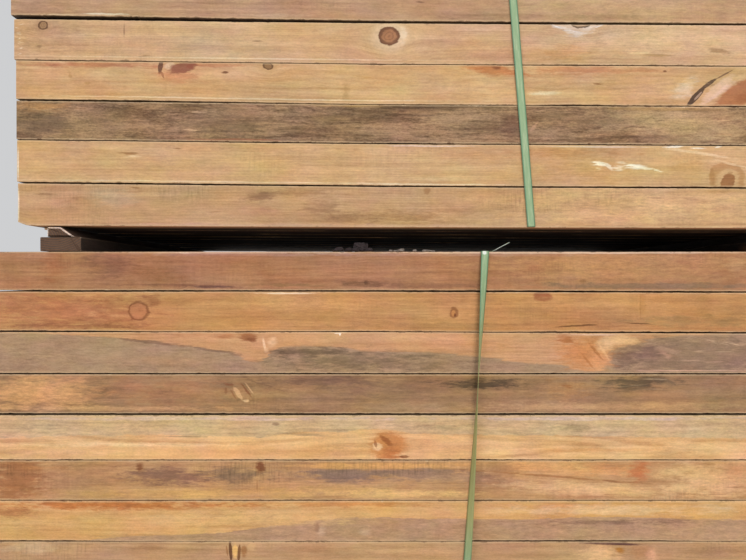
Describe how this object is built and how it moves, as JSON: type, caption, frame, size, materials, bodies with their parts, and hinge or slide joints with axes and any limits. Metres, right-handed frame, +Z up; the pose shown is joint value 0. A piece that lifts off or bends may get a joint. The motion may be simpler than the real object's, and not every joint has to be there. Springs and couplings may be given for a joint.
{
  "type": "lumber stack",
  "caption": "Strapped packs of rough-sawn square timber stacked one on the other, with bearers and fork gaps beneath each pack.",
  "frame": {"origin": "centre of the stack's bounds at floor level", "axes": "+X along the timbers to the right as seen from the front, -Y towards the front, +Z up"},
  "size_m": [4.1015, 1.1293, 2.1261],
  "materials": {
    "pine_tan": "matte",
    "pine_golden": "matte",
    "pine_grey": "matte",
    "pine_orange": "matte",
    "pine_straw": "matte",
    "pine_red": "matte",
    "bearer_grey": "matte",
    "strap_green": "satin",
    "bark": "matte"
  },
  "bodies": {
    "root": {"bark_chip": "bark", "ground_batten_1": "bearer_grey", "ground_batten_2": "bearer_grey", "ground_batten_3": "bearer_grey", "ground_wedge_1": "bearer_grey", "ground_wedge_2": "bearer_grey", "ground_wedge_3": "bearer_grey", "lower_layer_01": "pine_straw", "lower_layer_02": "pine_golden", "lower_layer_03": "pine_tan", "lower_layer_04": "pine_orange", "lower_layer_05": "pine_red", "lower_layer_06": "pine_golden", "lower_layer_07": "pine_grey", "lower_layer_08": "pine_grey", "lower_layer_09": "pine_orange", "lower_layer_10": "pine_red", "lower_strap_1": "strap_green", "lower_strap_2": "strap_green", "middle_batten_1": "bearer_grey", "middle_batten_2": "bearer_grey", "middle_batten_3": "bearer_grey", "middle_wedge_1": "bearer_grey", "middle_wedge_2": "bearer_grey", "middle_wedge_3": "bearer_grey", "upper_layer_01": "pine_tan", "upper_layer_02": "pine_golden", "upper_layer_03": "pine_grey", "upper_layer_04": "pine_orange", "upper_layer_05": "pine_straw", "upper_layer_06": "pine_tan", "upper_layer_07": "pine_straw", "upper_layer_08": "pine_golden", "upper_layer_09": "pine_grey", "upper_layer_10": "pine_straw", "upper_strap_1": "strap_green", "upper_strap_2": "strap_green"}
  },
  "joints": []
}
